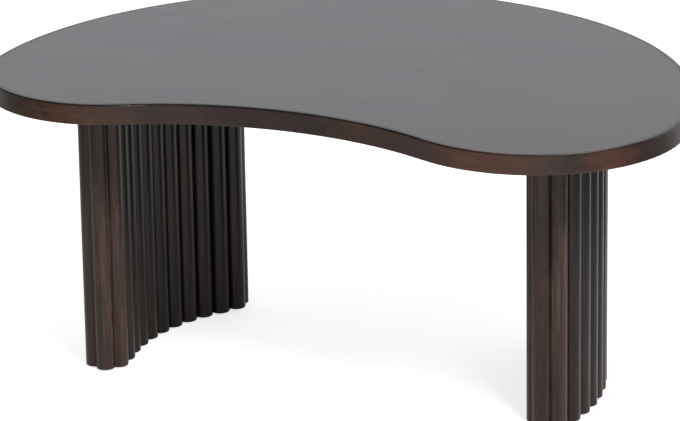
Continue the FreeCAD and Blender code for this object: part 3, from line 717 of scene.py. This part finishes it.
class TABLE_OT_legs(bpy.types.Operator):
    """Stain and lacquer the slats, the end mouldings and the curved cores of the legs, with the
    front mouldings lighter and browner than the rear ones: partly thinner, worn stain and partly
    painted light on their front faces"""
    bl_idname = "coffee_table.legs"
    bl_label = "Legs"

    def execute(self, context):
        finish = context.scene.table_wood
        lacquer = context.scene.table_lacquer
        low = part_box("left_leg_core")[0]
        slat_colours = (finish.slat_dark, finish.slat_light, finish.slat_warm)
        nose_colours = (finish.nose_dark, finish.nose_light, finish.nose_warm)
        alike = {"worn_weights": LEG_WORN_WEIGHTS, "spacing": STRIP_SPACING,
                 "rubbed": (low.z, LEG_RUBBED_REACH)}
        dress(SLAT_NODES + REAR_NOSE_NODES + CORE_NODES,
              wood("Near-black stained slats", slat_colours, LEG_GRAIN, SLAT_PATCHES,
                   lacquer.leg_roughness, lacquer.leg_shine, SLAT_WORN_PLACES, **alike))
        # A lighter, browner copy of the leg wood for the front mouldings: partly wear, partly
        # painted light on their front faces.
        dress(FRONT_NOSE_NODES,
              wood("Brown end mouldings, worn and painted lighter", nose_colours, LEG_GRAIN, NOSE_PATCHES,
                   lacquer.leg_roughness, lacquer.leg_shine, NOSE_WEAR_AND_PAINTED_LIGHT_PLACES,
                   flecks=NOSE_FLECKS, **alike))
        return {"FINISHED"}


class TABLE_OT_hidden_wood(bpy.types.Operator):
    """Finish the wood that the veneer and the slats hide: the board and the dowels"""
    bl_idname = "coffee_table.hidden_wood"
    bl_label = "Hidden Wood"

    def execute(self, context):
        finish = context.scene.table_wood
        dress(["top_core", "nose_dowels"],
              raw_board("Raw board", finish.raw_dark, finish.raw_light))
        return {"FINISHED"}


class TABLE_OT_fittings(bpy.types.Operator):
    """Finish the steel plates and fastenings and the nylon glides"""
    bl_idname = "coffee_table.fittings"
    bl_label = "Fittings"

    def execute(self, context):
        finish = context.scene.table_fittings
        dress(PLATE_NODES + STEEL_NODES, zinc_steel("Zinc-plated steel", finish.zinc))
        dress(["glide_pads"], moulded_nylon("Black nylon", finish.nylon))
        return {"FINISHED"}


class TABLE_OT_stage(bpy.types.Operator):
    """Set the floor, the soft light and the camera"""
    bl_idname = "coffee_table.stage"
    bl_label = "Stage"

    def execute(self, context):
        settings = context.scene.table_stage
        self.lay_floor(context, settings)
        self.paint_room(context, settings)
        self.hang_lamp(context, settings)
        self.place_camera(context, settings)
        context.scene.view_settings.view_transform = "Standard"
        return {"FINISHED"}

    def lay_floor(self, context, settings):
        disc = bmesh.new()
        bmesh.ops.create_circle(disc, cap_ends=True, segments=FLOOR_CORNERS,
                                radius=settings.floor_radius)
        mesh = bpy.data.meshes.new("floor")
        disc.to_mesh(mesh)
        disc.free()
        mesh.materials.append(pale_floor("Pale floor", settings))
        floor = bpy.data.objects.new("floor", mesh)
        floor.location = (0.0, 0.0, FLOOR_LEVEL)
        context.collection.objects.link(floor)

    def paint_room(self, context, settings):
        """Make the room white behind the table, and dimmer overhead and where the viewer is."""
        world = bpy.data.worlds.new("Studio")
        world.use_nodes = True
        tree = world.node_tree
        tree.nodes.clear()
        towards = parts(tree, coordinates(tree, "Generated"))
        level = product(
            tree,
            remap(tree, towards["Y"], *ROOM_FRONT_RANGE, settings.sky_front, 1.0),
            remap(tree, towards["Z"], *ROOM_OVERHEAD_RANGE, 1.0, settings.sky_overhead),
            settings.sky_level)
        seen = seen_directly(tree, add(tree, "ShaderNodeLightPath").outputs)
        sky = add(tree, "ShaderNodeBackground", None,
                  {"Color": blend_colours(tree, seen, ROOM_TINT, WHITE),
                   "Strength": math_node(tree, "MAXIMUM", level, seen)})
        add(tree, "ShaderNodeOutputWorld", None, {"Surface": sky.outputs[0]})
        context.scene.world = world

    def hang_lamp(self, context, settings):
        lamp = bpy.data.lights.new("key_lamp", "AREA")
        lamp.shape = "SQUARE"
        lamp.size = LAMP_SIZE
        lamp.energy = settings.key_power
        key = bpy.data.objects.new("key_lamp", lamp)
        key.location = LAMP_PLACE
        key.rotation_mode = "QUATERNION"
        key.rotation_quaternion = (LAMP_AIM - LAMP_PLACE).to_track_quat("-Z", "Y")
        key.visible_camera = False
        context.collection.objects.link(key)

    def place_camera(self, context, settings):
        data = bpy.data.cameras.new("camera")
        data.sensor_width = SENSOR_WIDTH
        data.lens = settings.lens
        data.clip_start = NEAREST_SEEN
        data.clip_end = FARTHEST_SEEN
        azimuth, elevation = settings.camera_azimuth, settings.camera_elevation
        forward = Vector((-math.sin(azimuth) * math.cos(elevation),
                          math.cos(azimuth) * math.cos(elevation), -math.sin(elevation)))
        level_right = Vector((math.cos(azimuth), math.sin(azimuth), 0.0))
        level_up = level_right.cross(forward)
        roll = settings.camera_roll
        right = level_right * math.cos(roll) - level_up * math.sin(roll)
        up = level_right * math.sin(roll) + level_up * math.cos(roll)
        turn = Matrix((right, up, -forward)).transposed().to_4x4()
        camera = bpy.data.objects.new("camera", data)
        camera.matrix_world = Matrix.Translation(Vector(settings.camera_place)) @ turn
        context.collection.objects.link(camera)
        context.scene.camera = camera


OPERATORS = (TABLE_OT_face_veneer, TABLE_OT_edge_band, TABLE_OT_legs, TABLE_OT_hidden_wood,
             TABLE_OT_fittings, TABLE_OT_stage)


class TABLE_PT_panel(bpy.types.Panel):
    """Sizes, colours and steps of the coffee table"""
    bl_idname = "TABLE_PT_panel"
    bl_label = "Coffee Table"
    bl_space_type = "VIEW_3D"
    bl_region_type = "UI"
    bl_category = "Coffee Table"

    def draw(self, context):
        for name in GROUPS:
            group = getattr(context.scene, name)
            box = self.layout.box()
            for setting in group.__annotations__:
                box.prop(group, setting)
        for operator in OPERATORS:
            self.layout.operator(operator.bl_idname)


GROUPS = {
    "table_wood": WoodFinish,
    "table_lacquer": LacquerFinish,
    "table_fittings": FittingFinish,
    "table_stage": StageSettings,
}


def register():
    for name, group in GROUPS.items():
        bpy.utils.register_class(group)
        setattr(bpy.types.Scene, name, PointerProperty(type=group))
    for operator in OPERATORS:
        bpy.utils.register_class(operator)
    bpy.utils.register_class(TABLE_PT_panel)


def unregister():
    bpy.utils.unregister_class(TABLE_PT_panel)
    for operator in reversed(OPERATORS):
        bpy.utils.unregister_class(operator)
    for name, group in reversed(GROUPS.items()):
        delattr(bpy.types.Scene, name)
        bpy.utils.unregister_class(group)


def main():
    register()
    bpy.ops.coffee_table.face_veneer()
    bpy.ops.coffee_table.edge_band()
    bpy.ops.coffee_table.legs()
    bpy.ops.coffee_table.hidden_wood()
    bpy.ops.coffee_table.fittings()
    bpy.ops.coffee_table.stage()


if __name__ == "__main__":
    main()
